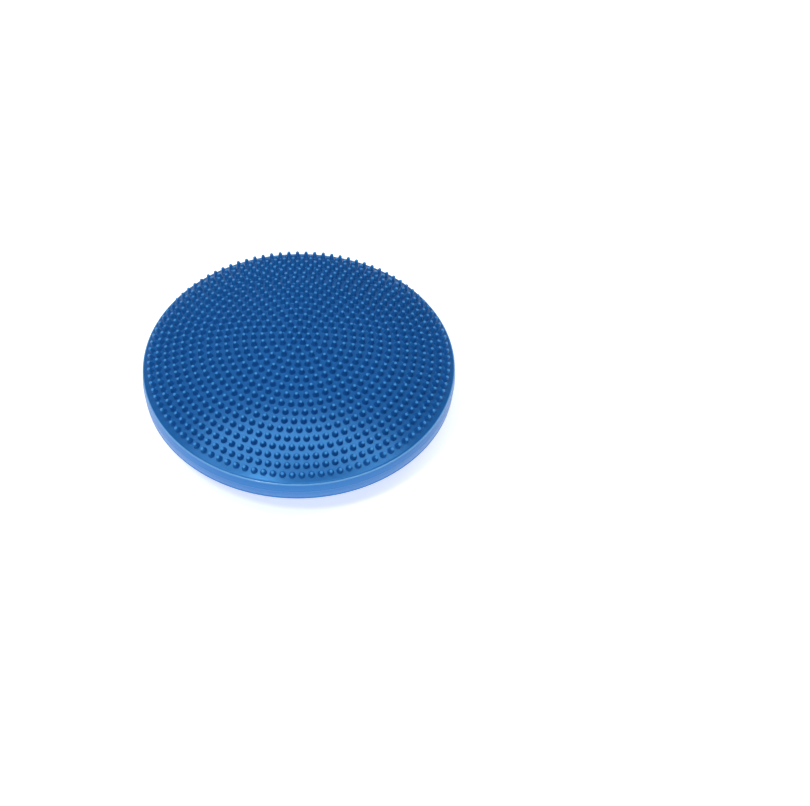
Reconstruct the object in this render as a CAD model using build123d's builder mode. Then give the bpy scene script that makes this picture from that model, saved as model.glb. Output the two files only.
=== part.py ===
from build123d import *
import os
from math import acos, asin, cos, pi, sin

# Wobble cushion: an air-filled soft PVC disc with a studded upper skin and a
# smooth lower skin. Millimetres, +Z up, origin on the floor under the centre.

# --- driving dimensions -------------------------------------------------
outer_diameter = 330.0
skin_thickness = 3.6

# side wall: two bands that meet at the mould's parting line
lower_wall_height = 11.5
upper_wall_height = 9.1
wall_bulge = 1.2

# upper skin: a ball-shaped cap, with a small flat under the middle stud
top_radius = 364.0
apex_flat_radius = 14.5

# lower skin, smooth: a flat crown that rolls over into a tighter shoulder
base_crown_radius = 700.0
base_crown_edge = 100.0
base_shoulder_radius = 140.0

# studs: moulded cones in rings, six more in each ring than in the one inside it
stud_rings = 17
studs_per_ring_step = 6
stud_ring_pitch = 9.4
stud_height = 7.2
stud_base_radius = 3.2
stud_tip_radius = 1.2
stud_root_depth = 1.2
# turn of each ring, in studs, from the innermost ring outwards
stud_ring_turn = [0.5, 0.08, 0.6, 0.21, 0.7, 0.23, 0.81, 0.41, 0.94, 0.43, 0.4,
                  0.02, 0.86, 0.42, 0.99, 0.09, 0.69]

# centre disc of the lower skin, the patch that stays on the floor
centre_disc_radius = 24.0
centre_lap = 4.0
lap_clearance = 0.3
ring_inner_radius = 19.8
ring_outer_radius = 22.2
ring_height = 0.8

# needle valve at the back of the rim
valve_height_in_wall = 5.75
valve_seat_radius = 4.6
valve_seat_inner_y = 150.0
valve_seat_outer_y = 164.6
valve_head_radius = 3.4
valve_head_thickness = 2.0
valve_stem_radius = 2.6
valve_core_outer_y = 164.4
valve_core_inner_y = 147.5
needle_hole_radius = 1.0
needle_hole_depth = 9.0


class Dome:
    """Skin of revolution with a crown arc that runs tangent into a shoulder arc."""

    def __init__(self, crown_radius, crown_edge, shoulder_radius, edge_radius):
        self.crown_radius = crown_radius
        self.shoulder_radius = shoulder_radius
        self.crown_tilt = asin(crown_edge / crown_radius)
        self.centre_r = (crown_radius - shoulder_radius) * sin(self.crown_tilt)
        self.centre_depth = crown_radius - (crown_radius - shoulder_radius) * cos(self.crown_tilt)
        self.edge_tilt = asin((edge_radius - self.centre_r) / shoulder_radius)
        self.rise = self.centre_depth - shoulder_radius * cos(self.edge_tilt)

    def point(self, tilt, inset=0.0):
        """Radius and depth below the apex where the skin has this slope, in radians."""
        if tilt <= self.crown_tilt:
            radius = self.crown_radius - inset
            return radius * sin(tilt), self.crown_radius - radius * cos(tilt)
        radius = self.shoulder_radius - inset
        return self.centre_r + radius * sin(tilt), self.centre_depth - radius * cos(tilt)

    def tilt_at_depth(self, depth, inset):
        """Slope of the shoulder at this depth below the apex."""
        return acos((self.centre_depth - depth) / (self.shoulder_radius - inset))

    def tilt_at_radius(self, radius, inset=0.0):
        """Slope of the crown at this radius."""
        return asin(radius / (self.crown_radius - inset))


crease_radius = outer_diameter / 2 - wall_bulge
top_dome = Dome(top_radius, crease_radius, top_radius, crease_radius)
base_dome = Dome(base_crown_radius, base_crown_edge, base_shoulder_radius, crease_radius)

# heights above the floor
disc_edge_depth = base_dome.point(base_dome.tilt_at_radius(centre_disc_radius))[1]
base_apex_z = ring_height - disc_edge_depth
lower_crease_z = base_apex_z + base_dome.rise
parting_z = lower_crease_z + lower_wall_height
upper_crease_z = parting_z + upper_wall_height
top_apex_z = upper_crease_z + top_dome.rise
valve_z = lower_crease_z + valve_height_in_wall

os.makedirs("parts", exist_ok=True)


def arc_through(dome, start_tilt, end_tilt, inset, place):
    """Arc of a dome's outline between two slopes; place turns (radius, depth) into (x, z)."""
    middle_tilt = (start_tilt + end_tilt) / 2
    tilts = (start_tilt, middle_tilt, end_tilt)
    return ThreePointArc(*(place(*dome.point(tilt, inset)) for tilt in tilts))


def top_place(radius, depth):
    return radius, top_apex_z - depth


def base_place(radius, depth):
    return radius, base_apex_z + depth


# --- studded upper skin -------------------------------------------------
def stud_planes(ring):
    """Planes on the skin where the studs of one ring stand."""
    tilt = ring * stud_ring_pitch / top_radius
    radius, height = top_place(*top_dome.point(tilt))
    count = ring * studs_per_ring_step
    planes = []
    for index in range(count):
        turn = 2 * pi * (index + stud_ring_turn[ring - 1]) / count - pi / 2
        foot = Vector(radius * cos(turn), radius * sin(turn), height)
        normal = foot - Vector(0, 0, top_apex_z - top_radius)
        planes.append(Plane(foot, x_dir=(-sin(turn), cos(turn), 0), z_dir=normal))
    return planes


stud_slope = (stud_base_radius - stud_tip_radius) / stud_height
stud_root_radius = stud_base_radius + stud_slope * stud_root_depth
all_stud_planes = [Plane((0, 0, top_apex_z))]
for ring in range(1, stud_rings + 1):
    all_stud_planes += stud_planes(ring)

with BuildPart() as studded_top_skin:
    with BuildSketch(Plane.XZ):
        with BuildLine():
            flat_tilt = top_dome.tilt_at_radius(apex_flat_radius)
            flat_edge = top_place(*top_dome.point(flat_tilt))
            inner_edge_tilt = top_dome.tilt_at_depth(top_dome.rise, skin_thickness)
            inner_edge = top_place(*top_dome.point(inner_edge_tilt, skin_thickness))
            inner_apex = top_place(0, skin_thickness)
            arc_through(top_dome, flat_tilt, top_dome.edge_tilt, 0, top_place)
            Line((crease_radius, upper_crease_z), inner_edge)
            arc_through(top_dome, inner_edge_tilt, 0, skin_thickness, top_place)
            Polyline(inner_apex, (0, flat_edge[1]), flat_edge)
        make_face()
    revolve(axis=Axis.Z)
    with Locations(*(Location(plane.offset(-stud_root_depth)) for plane in all_stud_planes)):
        Cone(stud_root_radius, stud_tip_radius, stud_height + stud_root_depth,
             align=(Align.CENTER, Align.CENTER, Align.MIN))
studded_top_skin.part.label = "studded_top_skin"
export_step(studded_top_skin.part, "parts/studded_top_skin.step")


# --- side wall ----------------------------------------------------------
def wall_radius(height, inset):
    """Radius of the bulged wall at a height, inset from its outer face."""
    middle = (lower_crease_z + upper_crease_z) / 2
    half = (upper_crease_z - lower_crease_z) / 2
    sagitta = wall_bulge
    bend = (half * half + sagitta * sagitta) / (2 * sagitta)
    centre = outer_diameter / 2 - bend
    return centre + ((bend - inset) ** 2 - (height - middle) ** 2) ** 0.5


def wall_band(bottom, top):
    """Closed outline of one band of the wall, between two heights."""
    middle = (bottom + top) / 2
    outer = [(wall_radius(z, 0), z) for z in (bottom, middle, top)]
    inner = [(wall_radius(z, skin_thickness), z) for z in (top, middle, bottom)]
    ThreePointArc(*outer)
    Line(outer[2], inner[0])
    ThreePointArc(*inner)
    Line(inner[2], outer[0])


with BuildPart() as upper_rim_wall:
    with BuildSketch(Plane.XZ):
        with BuildLine():
            wall_band(parting_z, upper_crease_z)
        make_face()
    revolve(axis=Axis.Z)
upper_rim_wall.part.label = "upper_rim_wall"
export_step(upper_rim_wall.part, "parts/upper_rim_wall.step")

valve_axis = Plane((0, valve_seat_inner_y, valve_z), x_dir=(1, 0, 0), z_dir=(0, 1, 0))

with BuildPart() as lower_rim_wall:
    with BuildSketch(Plane.XZ):
        with BuildLine():
            wall_band(lower_crease_z, parting_z)
        make_face()
    revolve(axis=Axis.Z)
    with BuildSketch(valve_axis):
        Circle(valve_seat_radius)
    extrude(amount=outer_diameter / 2 - valve_seat_inner_y + wall_bulge, mode=Mode.SUBTRACT)
lower_rim_wall.part.label = "lower_rim_wall"
export_step(lower_rim_wall.part, "parts/lower_rim_wall.step")


# --- smooth lower skin, from the centre disc out to the lower crease -----
lap_z = ring_height + skin_thickness / 2
disc_inner_z = ring_height + skin_thickness

with BuildPart() as smooth_bottom_skin:
    with BuildSketch(Plane.XZ):
        with BuildLine():
            mouth_tilt = base_dome.tilt_at_radius(centre_disc_radius + lap_clearance)
            flange_edge = centre_disc_radius + centre_lap + lap_clearance
            flange_tilt = base_dome.tilt_at_radius(flange_edge, skin_thickness)
            inner_edge_tilt = base_dome.tilt_at_depth(base_dome.rise, skin_thickness)
            mouth = base_place(*base_dome.point(mouth_tilt))
            flange_top = base_place(*base_dome.point(flange_tilt, skin_thickness))
            inner_edge = base_place(*base_dome.point(inner_edge_tilt, skin_thickness))
            arc_through(base_dome, mouth_tilt, base_dome.crown_tilt, 0, base_place)
            arc_through(base_dome, base_dome.crown_tilt + 1e-9, base_dome.edge_tilt, 0, base_place)
            Line((crease_radius, lower_crease_z), inner_edge)
            arc_through(base_dome, inner_edge_tilt, base_dome.crown_tilt + 1e-9,
                        skin_thickness, base_place)
            arc_through(base_dome, base_dome.crown_tilt, flange_tilt, skin_thickness, base_place)
            Polyline(flange_top, (flange_edge, lap_z), (mouth[0], lap_z), mouth)
        make_face()
    revolve(axis=Axis.Z)
smooth_bottom_skin.part.label = "smooth_bottom_skin"
export_step(smooth_bottom_skin.part, "parts/smooth_bottom_skin.step")


# --- centre disc with its raised ring, the patch that stays on the floor --
with BuildPart() as base_centre_disc:
    with BuildSketch(Plane.XZ):
        with BuildLine():
            Polyline(
                (0, ring_height),
                (ring_inner_radius - ring_height, ring_height),
                (ring_inner_radius, 0),
                (ring_outer_radius, 0),
                (ring_outer_radius + ring_height, ring_height),
                (centre_disc_radius, ring_height),
                (centre_disc_radius, lap_z),
                (centre_disc_radius + centre_lap, lap_z),
                (centre_disc_radius + centre_lap, disc_inner_z),
                (0, disc_inner_z),
                close=True,
            )
        make_face()
    revolve(axis=Axis.Z)
base_centre_disc.part.label = "base_centre_disc"
export_step(base_centre_disc.part, "parts/base_centre_disc.step")


# --- needle valve in the rim ---------------------------------------------
seat_length = valve_seat_outer_y - valve_seat_inner_y
head_y = valve_core_outer_y - valve_head_thickness
head_plane = Plane((0, head_y, valve_z), x_dir=(1, 0, 0), z_dir=(0, 1, 0))
stem_plane = Plane((0, valve_core_inner_y, valve_z), x_dir=(1, 0, 0), z_dir=(0, 1, 0))
face_plane = Plane((0, valve_core_outer_y, valve_z), x_dir=(1, 0, 0), z_dir=(0, 1, 0))

with BuildPart() as valve_seat:
    with BuildSketch(valve_axis):
        Circle(valve_seat_radius)
        Circle(valve_stem_radius, mode=Mode.SUBTRACT)
    extrude(amount=seat_length)
    with BuildSketch(head_plane):
        Circle(valve_head_radius)
    extrude(amount=seat_length, mode=Mode.SUBTRACT)
valve_seat.part.label = "valve_seat"
export_step(valve_seat.part, "parts/valve_seat.step")

with BuildPart() as valve_core:
    with BuildSketch(stem_plane):
        Circle(valve_stem_radius)
    extrude(amount=head_y - valve_core_inner_y)
    with BuildSketch(head_plane):
        Circle(valve_head_radius)
    extrude(amount=valve_head_thickness)
    with BuildSketch(face_plane):
        Circle(needle_hole_radius)
    extrude(amount=-needle_hole_depth, mode=Mode.SUBTRACT)
valve_core.part.label = "valve_core"
export_step(valve_core.part, "parts/valve_core.step")
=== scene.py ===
import math
import random

import bmesh
import bpy
from mathutils import Matrix, Vector


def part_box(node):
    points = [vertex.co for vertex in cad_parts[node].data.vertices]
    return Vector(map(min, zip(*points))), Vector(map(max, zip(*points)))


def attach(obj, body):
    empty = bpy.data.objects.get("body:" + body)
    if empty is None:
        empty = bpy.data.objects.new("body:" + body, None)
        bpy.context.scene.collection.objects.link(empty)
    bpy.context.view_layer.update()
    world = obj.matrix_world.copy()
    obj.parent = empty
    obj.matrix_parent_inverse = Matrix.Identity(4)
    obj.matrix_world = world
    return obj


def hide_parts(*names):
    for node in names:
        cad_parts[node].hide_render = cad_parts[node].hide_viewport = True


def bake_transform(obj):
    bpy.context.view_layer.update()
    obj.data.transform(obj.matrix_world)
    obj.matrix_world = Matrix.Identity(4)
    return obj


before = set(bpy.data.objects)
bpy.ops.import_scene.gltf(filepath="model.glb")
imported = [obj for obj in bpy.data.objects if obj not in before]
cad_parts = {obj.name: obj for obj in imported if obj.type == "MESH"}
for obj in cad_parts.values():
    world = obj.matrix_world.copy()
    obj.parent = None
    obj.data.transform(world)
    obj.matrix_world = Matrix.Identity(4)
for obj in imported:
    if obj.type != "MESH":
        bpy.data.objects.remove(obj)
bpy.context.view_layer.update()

# --- sizes, in metres; the heights come from the frame --------------------
SKIN = 0.0036
CREASE_R = 0.1638
RIM_R = 0.165
TOP_R = 0.364
STUD_PITCH = 0.0094
BASE_CROWN_R = 0.700
BASE_CROWN_EDGE = 0.100
BASE_SHOULDER_R = 0.140
STUD_RINGS = 17
RING_TURN = [0.5, 0.08, 0.6, 0.21, 0.7, 0.23, 0.81, 0.41, 0.94, 0.43, 0.4,
             0.02, 0.86, 0.42, 0.99, 0.09, 0.69]

LOWER_CREASE_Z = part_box("lower_rim_wall")[0][2]
PARTING_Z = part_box("upper_rim_wall")[0][2]
UPPER_CREASE_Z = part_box("upper_rim_wall")[1][2]
DISC_EDGE_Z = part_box("smooth_bottom_skin")[0][2]
VALVE_Z = (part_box("valve_core")[0][2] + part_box("valve_core")[1][2]) / 2

# height at the top of a bending zone of the soft body, where the lower skin is split in two
ROLL_TOP_Z = 0.020


class Dome:
    """Skin of revolution: a crown arc that runs tangent into a shoulder arc."""

    def __init__(self, crown_radius, crown_edge, shoulder_radius):
        self.crown_radius = crown_radius
        self.shoulder_radius = shoulder_radius
        self.crown_tilt = math.asin(crown_edge / crown_radius)
        reach = crown_radius - shoulder_radius
        self.centre_r = reach * math.sin(self.crown_tilt)
        self.centre_depth = crown_radius - reach * math.cos(self.crown_tilt)
        self.edge_tilt = math.asin((CREASE_R - self.centre_r) / shoulder_radius)
        self.rise = self.centre_depth - shoulder_radius * math.cos(self.edge_tilt)
        self.crown_length = crown_radius * self.crown_tilt
        shoulder_turn = self.edge_tilt - self.crown_tilt
        self.edge_length = self.crown_length + shoulder_radius * shoulder_turn

    def tilt(self, length):
        """Slope at this distance from the apex, along the outer skin."""
        if length <= self.crown_length:
            return length / self.crown_radius
        return self.crown_tilt + (length - self.crown_length) / self.shoulder_radius

    def point(self, tilt, inset=0.0):
        """Radius and depth below the apex where the skin has this slope."""
        if tilt <= self.crown_tilt:
            radius = self.crown_radius - inset
            return radius * math.sin(tilt), self.crown_radius - radius * math.cos(tilt)
        radius = self.shoulder_radius - inset
        return self.centre_r + radius * math.sin(tilt), self.centre_depth - radius * math.cos(tilt)

    def tilt_at_depth(self, depth, inset=0.0):
        """Slope where the skin, or its inner face, is this far below the apex."""
        shoulder = self.shoulder_radius - inset
        if depth >= self.centre_depth - shoulder * math.cos(self.crown_tilt):
            return math.acos((self.centre_depth - depth) / shoulder)
        return math.acos(min(1.0, (self.crown_radius - depth) / (self.crown_radius - inset)))


TOP = Dome(TOP_R, CREASE_R, TOP_R)
BASE = Dome(BASE_CROWN_R, BASE_CROWN_EDGE, BASE_SHOULDER_R)
TOP_APEX_Z = UPPER_CREASE_Z + TOP.rise
BASE_APEX_Z = LOWER_CREASE_Z - BASE.rise


# --- mesh helpers ---------------------------------------------------------
class Surface:
    """Collects points and faces of one piece."""

    def __init__(self):
        self.points = []
        self.faces = []

    def add(self, point):
        self.points.append(point)
        return len(self.points) - 1

    def circle(self, radius, z, count, start=0.0):
        """Loop of points round the Z axis; returns their indices."""
        loop = []
        for i in range(count):
            turn = start + 2 * math.pi * i / count
            loop.append(self.add((radius * math.cos(turn), radius * math.sin(turn), z)))
        return loop

    def band(self, inner, outer):
        """Quads between two loops with the same number of points."""
        count = len(inner)
        for i in range(count):
            j = (i + 1) % count
            self.faces.append((inner[i], outer[i], outer[j], inner[j]))

    def cap(self, loop, middle):
        """Fan of triangles from a loop to one point inside it."""
        for i in range(len(loop)):
            self.faces.append((middle, loop[i], loop[(i + 1) % len(loop)]))

    def stitch(self, inner, outer):
        """Triangles between two loops with different numbers of points."""
        def turned(loop):
            keyed = []
            for index in loop:
                x, y = self.points[index][:2]
                keyed.append((math.atan2(y, x) % (2 * math.pi), index))
            keyed.sort()
            keyed.append((keyed[0][0] + 2 * math.pi, keyed[0][1]))
            return keyed

        a, b = turned(inner), turned(outer)
        i = j = 0
        while i < len(a) - 1 or j < len(b) - 1:
            step_outer = i == len(a) - 1 or (j < len(b) - 1 and b[j + 1][0] < a[i + 1][0])
            if step_outer:
                self.faces.append((a[i][1], b[j][1], b[j + 1][1]))
                j += 1
            else:
                self.faces.append((a[i][1], b[j][1], a[i + 1][1]))
                i += 1

    def build(self, name, sharp_degrees=50):
        """Makes the Blender object, smooth shaded but for its sharp edges."""
        mesh = bpy.data.meshes.new(name)
        mesh.from_pydata(self.points, [], self.faces)
        solid = bmesh.new()
        solid.from_mesh(mesh)
        bmesh.ops.recalc_face_normals(solid, faces=solid.faces)
        solid.to_mesh(mesh)
        solid.free()
        mesh.shade_smooth()
        mesh.set_sharp_from_angle(angle=math.radians(sharp_degrees))
        piece = bpy.data.objects.new(name, mesh)
        bpy.context.scene.collection.objects.link(piece)
        return piece


def revolved(name, profile, count=288, sharp_degrees=50):
    """Closed ring from a closed (radius, z) profile; a radius of 0 is a pole."""
    surface = Surface()
    loops = []
    for radius, z in profile:
        if radius == 0:
            loops.append(surface.add((0.0, 0.0, z)))
        else:
            loops.append(surface.circle(radius, z, count))
    for a, b in zip(loops, loops[1:] + loops[:1]):
        if isinstance(a, int) and isinstance(b, int):
            continue
        if isinstance(a, int):
            surface.cap(b, a)
        elif isinstance(b, int):
            surface.cap(a, b)
        else:
            surface.band(a, b)
    return surface.build(name, sharp_degrees)


def dome_run(dome, apex_z, up, start, end, steps, inset=0.0):
    """Points (radius, z) of a dome between two slopes; up is 1 or -1."""
    run = []
    for i in range(steps + 1):
        radius, depth = dome.point(start + (end - start) * i / steps, inset)
        run.append((radius, apex_z - up * depth))
    return run


# --- crease beads ---------------------------------------------------------
BEAD_R = 0.0009
BEAD_IN = 0.00035
BEAD_UP = 0.00015


def crease_bead(crease_z, up):
    """Rounded lip where a dome meets the wall, from the dome side outwards."""
    bead = []
    for degrees in range(140, -11, -25):
        turn = math.radians(degrees)
        radius = CREASE_R - BEAD_IN + BEAD_R * math.cos(turn)
        bead.append((radius, crease_z + up * (BEAD_UP + BEAD_R * math.sin(turn))))
    bead.append((CREASE_R + BEAD_R - BEAD_IN - 0.00003, crease_z))
    return bead


# --- studded upper skin ---------------------------------------------------
STUD_PROFILE = [(0.00395, 0.0), (0.0036, 0.00006), (0.00328, 0.0003), (0.00304, 0.0009),
                (0.00246, 0.0030), (0.00176, 0.0058), (0.00158, 0.0064),
                (0.00122, 0.0069), (0.00066, 0.00714)]
STUD_TOP = 0.0072
SIDE_STEPS = 4
RING_GAP = 0.0006


def top_frame(length):
    """Radius, height and slope of the upper skin at a distance from its apex."""
    tilt = TOP.tilt(length)
    radius, depth = TOP.point(tilt)
    return radius, TOP_APEX_Z - depth, tilt


def add_stud(surface, border, length, turn, wobble):
    """One stud inside a closed border loop, whose first point is its inner left corner."""
    radius, z, tilt = top_frame(length)
    outward = Vector((math.cos(turn), math.sin(turn), 0))
    across = Vector((-math.sin(turn), math.cos(turn), 0))
    axis = (outward * math.sin(tilt) + Vector((0, 0, math.cos(tilt)))).normalized()
    lean = axis + across * wobble.uniform(-0.02, 0.02) + outward * wobble.uniform(-0.02, 0.02)
    tall = wobble.uniform(0.97, 1.03)
    count = len(border)
    previous = border
    for reach, height in STUD_PROFILE:
        loop = []
        for i in range(count):
            angle = math.radians(225) + 2 * math.pi * i / count
            there_r, there_z, _ = top_frame(abs(length + reach * math.sin(angle)))
            side = reach * math.cos(angle)
            foot = outward * there_r + across * side
            foot.z = there_z
            if height:
                foot = Vector((radius * math.cos(turn), radius * math.sin(turn), z))
                foot += across * side + (across.cross(axis) * -1) * (reach * math.sin(angle))
            loop.append(surface.add(tuple(foot + lean * (height * tall))))
        surface.band(previous, loop)
        previous = loop
    peak = Vector((radius * math.cos(turn), radius * math.sin(turn), z)) + lean * (STUD_TOP * tall)
    surface.cap(previous, surface.add(tuple(peak)))


def stud_ring(surface, ring, wobble):
    """A ring of studs, each in its own cell; returns the inner and the outer loop."""
    count = 6 * ring
    cell = 2 * math.pi / count
    inner_length = (ring - 0.5) * STUD_PITCH + RING_GAP / 2
    outer_length = (ring + 0.5) * STUD_PITCH - RING_GAP / 2
    start = RING_TURN[ring - 1] * cell - math.pi / 2 - cell / 2
    rows = []
    for step in range(SIDE_STEPS + 1):
        share = step / SIDE_STEPS
        radius, z, _ = top_frame(inner_length + (outer_length - inner_length) * share)
        full = step in (0, SIDE_STEPS)
        rows.append(surface.circle(radius, z, count * (SIDE_STEPS if full else 1), start))
    inner, outer = rows[0], rows[-1]
    for i in range(count):
        j = (i + 1) % count
        first = i * SIDE_STEPS
        border = [inner[(first + s) % len(inner)] for s in range(SIDE_STEPS + 1)]
        border += [rows[s][j] for s in range(1, SIDE_STEPS)]
        border += [outer[(first + s) % len(outer)] for s in range(SIDE_STEPS, -1, -1)]
        border += [rows[s][i] for s in range(SIDE_STEPS - 1, 0, -1)]
        add_stud(surface, border, ring * STUD_PITCH, start + (i + 0.5) * cell, wobble)
    return inner, outer


def mark(piece, layer, values, start, end):
    """Stores a named layer that runs from 0 to 1 between two of the values."""
    shares = [min(1.0, max(0.0, (value - start) / (end - start))) for value in values]
    piece.data.attributes.new(layer, "FLOAT", "POINT").data.foreach_set("value", shares)


def make_top_skin():
    """Skin, studs, bare margin and crease lip in one closed mesh."""
    wobble = random.Random(7)
    surface = Surface()
    radius, z, _ = top_frame(0.5 * STUD_PITCH - RING_GAP / 2)
    middle = surface.circle(radius, z, 4 * SIDE_STEPS, math.radians(225))
    add_stud(surface, middle, 0.0, math.pi / 2, wobble)
    previous = middle
    for ring in range(1, STUD_RINGS + 1):
        inner, outer = stud_ring(surface, ring, wobble)
        surface.stitch(previous, inner)
        previous = outer

    count = len(previous)
    start = math.atan2(surface.points[previous[0]][1], surface.points[previous[0]][0])
    last_stud_edge = TOP.tilt((STUD_RINGS + 0.5) * STUD_PITCH - RING_GAP / 2)
    lip_start = TOP.tilt(TOP.edge_length - 0.0016)
    profile = dome_run(TOP, TOP_APEX_Z, 1, last_stud_edge, lip_start, 3)[1:]
    profile += crease_bead(UPPER_CREASE_Z, 1)
    for radius, z in profile:
        loop = surface.circle(radius, z, count, start)
        surface.band(previous, loop)
        previous = loop

    inside = TOP.tilt_at_depth(TOP.rise, SKIN)
    inner_run = dome_run(TOP, TOP_APEX_Z, 1, inside, TOP.tilt(0.02), 12, SKIN)
    loops = [surface.circle(radius, z, 96) for radius, z in inner_run]
    surface.stitch(loops[0], previous)
    for a, b in zip(loops, loops[1:]):
        surface.band(a, b)
    surface.cap(loops[-1], surface.add((0.0, 0.0, TOP_APEX_Z - SKIN)))
    piece = surface.build("top_skin")
    ball = Vector((0, 0, TOP_APEX_Z - TOP_R))
    heights = [(Vector(point) - ball).length - TOP_R for point in surface.points]
    reaches = [math.hypot(point[0], point[1]) for point in surface.points]
    # layer where a highlight is painted on the stud tips
    mark(piece, "tip_highlight", heights, STUD_TOP - 0.0014, STUD_TOP - 0.0006)
    # layer where a highlight is painted along the crease lip, which also gets real coat gloss
    mark(piece, "lip", reaches, CREASE_R - 0.0011, CREASE_R - 0.0003)
    return piece


# --- side wall ------------------------------------------------------------
FLASH = 0.00018
FLASH_HALF = 0.00045


def wall_radius(z, inset=0.0):
    """Radius of the bulged wall at a height, inset from its outer face."""
    middle = (LOWER_CREASE_Z + UPPER_CREASE_Z) / 2
    half = (UPPER_CREASE_Z - LOWER_CREASE_Z) / 2
    bulge = RIM_R - CREASE_R
    bend = (half * half + bulge * bulge) / (2 * bulge)
    return RIM_R - bend + math.sqrt((bend - inset) ** 2 - (z - middle) ** 2)


def wall_profile(crease_z, parting_z):
    """Closed outline of one wall band, from its crease to the parting line."""
    up = 1 if crease_z > parting_z else -1
    lip = CREASE_R + BEAD_R - BEAD_IN - 0.00003
    outer = [(lip, crease_z), (CREASE_R + 0.0002, crease_z - up * 0.0006)]
    first = crease_z - up * 0.0013
    last = parting_z + up * FLASH_HALF
    steps = 9
    for i in range(steps + 1):
        z = first + (last - first) * i / steps
        outer.append((wall_radius(z), z))
    outer.append((wall_radius(parting_z) + FLASH * 0.7, parting_z + up * FLASH_HALF * 0.4))
    outer.append((wall_radius(parting_z) + FLASH, parting_z))
    inner = []
    for i in range(6):
        z = parting_z + (crease_z - parting_z) * i / 5
        inner.append((wall_radius(z, SKIN), z))
    return outer + inner


def cut_valve_hole(wall):
    """Opens the wall for the valve seat."""
    low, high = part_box("valve_seat")
    cutter_mesh = bpy.data.meshes.new("valve_hole")
    cutter = bpy.data.objects.new("valve_hole", cutter_mesh)
    bpy.context.scene.collection.objects.link(cutter)
    tool = bmesh.new()
    radius = (high[0] - low[0]) / 2 + 0.00015
    bmesh.ops.create_cone(tool, cap_ends=True, segments=48, radius1=radius,
                          radius2=radius, depth=0.04)
    turn = Matrix.Rotation(math.radians(90), 4, "X")
    bmesh.ops.transform(tool, verts=tool.verts, matrix=Matrix.Translation((0, high[1], VALVE_Z)) @ turn)
    tool.to_mesh(cutter_mesh)
    tool.free()
    cut = wall.modifiers.new("valve_hole", "BOOLEAN")
    cut.object = cutter
    cut.operation = "DIFFERENCE"
    cut.solver = "EXACT"
    with bpy.context.temp_override(object=wall, active_object=wall):
        bpy.ops.object.modifier_apply(modifier=cut.name)
    bpy.data.objects.remove(cutter)


# --- smooth lower skin ----------------------------------------------------
def base_shell(name, low_z, high_z, steps, lip):
    """Ring of the lower skin between two heights, with the crease lip if asked."""
    def tilt_at(z, inset):
        return BASE.tilt_at_depth(z - BASE_APEX_Z, inset)

    outer = dome_run(BASE, BASE_APEX_Z, -1, tilt_at(low_z, 0), tilt_at(high_z, 0), steps)
    if lip:
        outer = outer[:-1] + crease_bead(LOWER_CREASE_Z, -1)
    inner_low = max(low_z, BASE_APEX_Z + SKIN + 0.0002)
    inner = dome_run(BASE, BASE_APEX_Z, -1, tilt_at(high_z, SKIN), tilt_at(inner_low, SKIN),
                     steps, SKIN)
    return revolved(name, outer + inner)


def make_centre_disc():
    """Disc with the raised ring that the cushion stands on."""
    low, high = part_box("base_centre_disc")
    edge = 0.024
    ring_mid, ring_half = 0.021, 0.0012
    floor_z = DISC_EDGE_Z
    profile = [(0, floor_z), (0.012, floor_z), (0.0182, floor_z), (0.0190, floor_z - 0.00006)]
    for degrees in range(150, 29, -20):
        turn = math.radians(degrees)
        z = floor_z * (1 - math.sin(turn)) * 1.6
        profile.append((ring_mid + ring_half * 1.35 * math.cos(turn), min(floor_z, z)))
    profile += [(0.0230, floor_z - 0.00006), (0.0236, floor_z), (edge, floor_z)]
    profile += [(edge, high[2] - SKIN / 2), (0.028, high[2] - SKIN / 2), (0.028, high[2]), (0, high[2])]
    return revolved("centre_disc", profile, 128, 40)


# --- needle valve ---------------------------------------------------------
def valve_turned(name, profile, count=48):
    """Closed piece turned about the valve's axis; profile is (radius, y)."""
    piece = revolved(name, profile, count, 40)
    to_valve = Matrix.Translation((0, 0, VALVE_Z)) @ Matrix.Rotation(math.radians(-90), 4, "X")
    piece.data.transform(to_valve)
    return piece


def make_valve():
    seat_low, seat_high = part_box("valve_seat")
    core_low, core_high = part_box("valve_core")
    seat_r = (seat_high[0] - seat_low[0]) / 2
    head_r = (core_high[0] - core_low[0]) / 2
    face, back = seat_high[1], seat_low[1]
    plug, tail = core_high[1], core_low[1]
    stem_r, head_back = 0.0026, core_high[1] - 0.002
    seat = valve_turned("valve_seat_ring", [
        (seat_r, back), (seat_r, face - 0.0006), (seat_r - 0.0002, face - 0.0002),
        (seat_r - 0.0006, face), (head_r + 0.0003, face), (head_r, face - 0.0003),
        (head_r, head_back), (stem_r, head_back), (stem_r, back)])
    hole = 0.001
    core = valve_turned("valve_plug", [
        (0, tail), (stem_r - 0.0006, tail), (stem_r, tail + 0.0008), (stem_r, head_back),
        (head_r - 0.00005, head_back), (head_r - 0.00005, plug - 0.0004),
        (head_r - 0.0004, plug - 0.0001), (head_r - 0.0009, plug), (hole + 0.0006, plug - 0.0001),
        (hole + 0.0001, plug - 0.0004), (hole, plug - 0.0008), (hole, plug - 0.0085),
        (hole * 0.4, plug - 0.009), (0, plug - 0.009)])
    return seat, core


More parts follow.
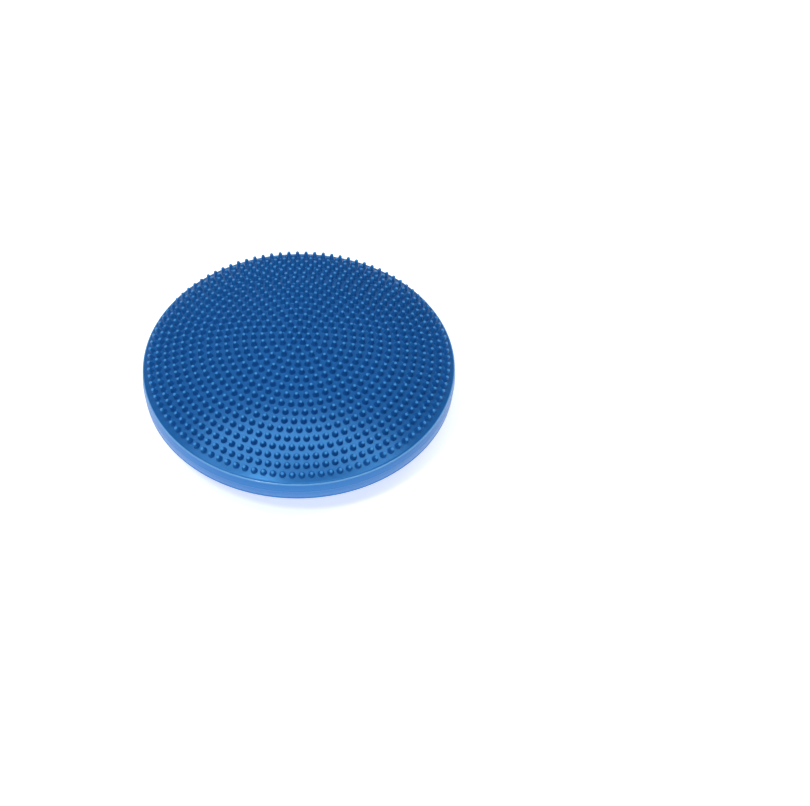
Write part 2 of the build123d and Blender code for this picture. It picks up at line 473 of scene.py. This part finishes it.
# --- materials ------------------------------------------------------------
def pvc(name, color, shade, tint, roughness, coat, grain, grain_size):
    """Moulded soft PVC: slight colour clouds, fine grain and an even gloss."""
    material = bpy.data.materials.new(name)
    material.use_nodes = True
    nodes, links = material.node_tree.nodes, material.node_tree.links
    shader = nodes["Principled BSDF"]
    shader.inputs["IOR"].default_value = 1.53
    shader.inputs["Coat Weight"].default_value = coat
    shader.inputs["Coat Roughness"].default_value = 0.12
    shader.inputs["Coat IOR"].default_value = 1.5
    shader.inputs["Specular IOR Level"].default_value = 1.0
    shader.inputs["Specular Tint"].default_value = (*tint, 1)
    place = nodes.new("ShaderNodeTexCoord")
    clouds = nodes.new("ShaderNodeTexNoise")
    clouds.inputs["Scale"].default_value = 22.0
    clouds.inputs["Detail"].default_value = 3.0
    links.new(place.outputs["Object"], clouds.inputs["Vector"])
    mix = nodes.new("ShaderNodeMix")
    mix.data_type = "RGBA"
    mix.inputs["A"].default_value = (*shade, 1)
    mix.inputs["B"].default_value = (*color, 1)
    links.new(clouds.outputs["Fac"], mix.inputs["Factor"])
    links.new(mix.outputs["Result"], shader.inputs["Base Color"])
    speckle = nodes.new("ShaderNodeTexNoise")
    speckle.inputs["Scale"].default_value = grain_size
    speckle.inputs["Detail"].default_value = 4.0
    links.new(place.outputs["Object"], speckle.inputs["Vector"])
    rough = nodes.new("ShaderNodeMapRange")
    rough.inputs["To Min"].default_value = roughness - 0.05
    rough.inputs["To Max"].default_value = roughness + 0.07
    links.new(speckle.outputs["Fac"], rough.inputs["Value"])
    links.new(rough.outputs["Result"], shader.inputs["Roughness"])
    bump = nodes.new("ShaderNodeBump")
    bump.inputs["Strength"].default_value = grain
    bump.inputs["Distance"].default_value = 0.0003
    links.new(speckle.outputs["Fac"], bump.inputs["Height"])
    links.new(bump.outputs["Normal"], shader.inputs["Normal"])
    return material


def paint_highlight(material, layer, color, polish):
    """Paints a highlight into the colour: mixes a paler colour in where the piece's named layer is set,
    and adds real coat gloss there if polish is set.
    """
    nodes, links = material.node_tree.nodes, material.node_tree.links
    shader = nodes["Principled BSDF"]
    mask = nodes.new("ShaderNodeAttribute")
    mask.attribute_name = layer
    mix = nodes.new("ShaderNodeMix")
    mix.data_type = "RGBA"
    links.new(mask.outputs["Fac"], mix.inputs["Factor"])
    links.new(shader.inputs["Base Color"].links[0].from_socket, mix.inputs["A"])
    mix.inputs["B"].default_value = (*color, 1)
    links.new(mix.outputs["Result"], shader.inputs["Base Color"])
    if polish:
        links.new(mask.outputs["Fac"], shader.inputs["Coat Weight"])


def dress(piece, material):
    """Gives a piece its one material, in a single slot."""
    piece.data.materials.clear()
    piece.data.materials.append(material)


BLUE_SHINE = (0.16, 0.52, 1.0)
CLEAR_SHINE = (0.3, 0.65, 1.0)
PALE_SHINE = (0.55, 0.80, 1.0)
WHITE_SHINE = (1.0, 1.0, 1.0)
STUDDED = pvc("studded_pvc", color=(0.012, 0.112, 0.36), shade=(0.009, 0.095, 0.31),
              tint=BLUE_SHINE, roughness=0.24, coat=0.0, grain=0.2, grain_size=900)
# painted highlight: the stud tips get a paler blue in their colour
paint_highlight(STUDDED, "tip_highlight", color=(0.045, 0.25, 0.60), polish=False)
# partly painted highlight: the crease lip gets a paler blue in its colour, and real coat gloss
paint_highlight(STUDDED, "lip", color=(0.10, 0.33, 0.66), polish=True)
SMOOTH = pvc("smooth_pvc", color=(0.001, 0.135, 0.56), shade=(0.001, 0.12, 0.50),
             tint=CLEAR_SHINE, roughness=0.12, coat=0.2, grain=0.05, grain_size=500)
RIM = pvc("rim_pvc", color=(0.008, 0.165, 0.54), shade=(0.006, 0.145, 0.48),
          tint=CLEAR_SHINE, roughness=0.34, coat=0.0, grain=0.25, grain_size=700)
SEAT = pvc("valve_pvc", color=(0.010, 0.10, 0.36), shade=(0.007, 0.08, 0.30),
           tint=PALE_SHINE, roughness=0.35, coat=0.2, grain=0.3, grain_size=900)
PLUG = pvc("valve_rubber", color=(0.02, 0.02, 0.024), shade=(0.012, 0.012, 0.015),
           tint=WHITE_SHINE, roughness=0.55, coat=0.0, grain=0.4, grain_size=1100)


# --- the cushion ----------------------------------------------------------
top_skin = make_top_skin()
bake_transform(top_skin)
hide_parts("studded_top_skin")
dress(top_skin, STUDDED)

upper_wall = revolved("upper_wall", wall_profile(UPPER_CREASE_Z, PARTING_Z))
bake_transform(upper_wall)
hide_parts("upper_rim_wall")
dress(upper_wall, RIM)

lower_wall = revolved("lower_wall", wall_profile(LOWER_CREASE_Z, PARTING_Z))
cut_valve_hole(lower_wall)
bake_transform(lower_wall)
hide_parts("lower_rim_wall")
dress(lower_wall, RIM)

bottom_outer = base_shell("bottom_skin_outer", ROLL_TOP_Z, LOWER_CREASE_Z, 14, True)
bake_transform(bottom_outer)
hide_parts("smooth_bottom_skin")
dress(bottom_outer, SMOOTH)

bottom_inner = base_shell("bottom_skin_inner", DISC_EDGE_Z, ROLL_TOP_Z, 28, False)
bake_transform(bottom_inner)
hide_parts("smooth_bottom_skin")
dress(bottom_inner, SMOOTH)

centre_disc = make_centre_disc()
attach(centre_disc, "base")
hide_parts("base_centre_disc")
dress(centre_disc, SMOOTH)

valve_ring, valve_plug = make_valve()
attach(valve_ring, "lower_rim")
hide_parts("valve_seat")
dress(valve_ring, SEAT)
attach(valve_plug, "lower_rim")
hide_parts("valve_core")
dress(valve_plug, PLUG)


# --- floor, light and camera ----------------------------------------------
FLOOR_HALF = 30.0
FLOOR_PALE = (0.85, 0.85, 0.85, 1)
FLOOR_GLOW = 0.6


def make_floor():
    """Matt pale sheet with a faint glow of its own, so that it stays white."""
    mesh = bpy.data.meshes.new("floor")
    sheet = bmesh.new()
    bmesh.ops.create_grid(sheet, x_segments=8, y_segments=8, size=FLOOR_HALF)
    sheet.to_mesh(mesh)
    sheet.free()
    floor = bpy.data.objects.new("floor", mesh)
    bpy.context.scene.collection.objects.link(floor)
    material = bpy.data.materials.new("studio_floor")
    material.use_nodes = True
    shader = material.node_tree.nodes["Principled BSDF"]
    shader.inputs["Base Color"].default_value = FLOOR_PALE
    shader.inputs["Roughness"].default_value = 0.9
    shader.inputs["Specular IOR Level"].default_value = 0.0
    shader.inputs["Emission Color"].default_value = (1, 1, 1, 1)
    shader.inputs["Emission Strength"].default_value = FLOOR_GLOW
    mesh.materials.append(material)


def area_light(name, place, aim, width, depth, watts):
    """Rectangular softbox turned towards a point."""
    data = bpy.data.lights.new(name, "AREA")
    data.shape = "RECTANGLE"
    data.size = width
    data.size_y = depth
    data.energy = watts
    light = bpy.data.objects.new(name, data)
    bpy.context.scene.collection.objects.link(light)
    light.location = place
    light.rotation_euler = (Vector(aim) - Vector(place)).to_track_quat("-Z", "Y").to_euler()


def make_light():
    """Even dim studio with one long softbox over the front half of the cushion."""
    world = bpy.data.worlds.new("studio")
    bpy.context.scene.world = world
    world.use_nodes = True
    backdrop = world.node_tree.nodes["Background"]
    backdrop.inputs["Color"].default_value = (0.32, 0.34, 0.37, 1)
    backdrop.inputs["Strength"].default_value = 1.0
    area_light("long_softbox", place=(0, -0.14, 1.3), aim=(0, -0.14, 0), width=1.9, depth=0.4, watts=9.5)
    area_light("front_key", place=(-0.38, -0.72, 1.45), aim=(0, 0, 0.06), width=0.24, depth=0.24, watts=7)


# camera, measured from the middle of the upper crease; FOCAL is in sensor widths
CAMERA_DISTANCE = 1.6008
CAMERA_ELEVATION = math.radians(49.29)
CAMERA_ROLL = math.radians(3.34)
FOCAL = 1.8687
AIM_LEFT = 0.1114
AIM_UP = 0.0431


def make_camera():
    """Looks down along +Y; the cushion stands left of and above the axis."""
    data = bpy.data.cameras.new("camera")
    data.sensor_width = 36.0
    data.lens = FOCAL * data.sensor_width
    data.clip_end = 50.0
    camera = bpy.data.objects.new("camera", data)
    bpy.context.scene.collection.objects.link(camera)
    tilt = CAMERA_ELEVATION
    level_right = Vector((1, 0, 0))
    level_up = Vector((0, math.sin(tilt), math.cos(tilt)))
    forward = Vector((0, math.cos(tilt), -math.sin(tilt)))
    right = level_right * math.cos(CAMERA_ROLL) + level_up * math.sin(CAMERA_ROLL)
    up = level_up * math.cos(CAMERA_ROLL) - level_right * math.sin(CAMERA_ROLL)
    seen = Vector((0, 0, UPPER_CREASE_Z)) + right * AIM_LEFT - up * AIM_UP
    place = seen - forward * CAMERA_DISTANCE
    turn = Matrix((right, up, -forward)).transposed()
    camera.matrix_world = Matrix.Translation(place) @ turn.to_4x4()
    bpy.context.scene.camera = camera


bpy.context.scene.view_settings.view_transform = "Standard"
make_floor()
make_light()
make_camera()
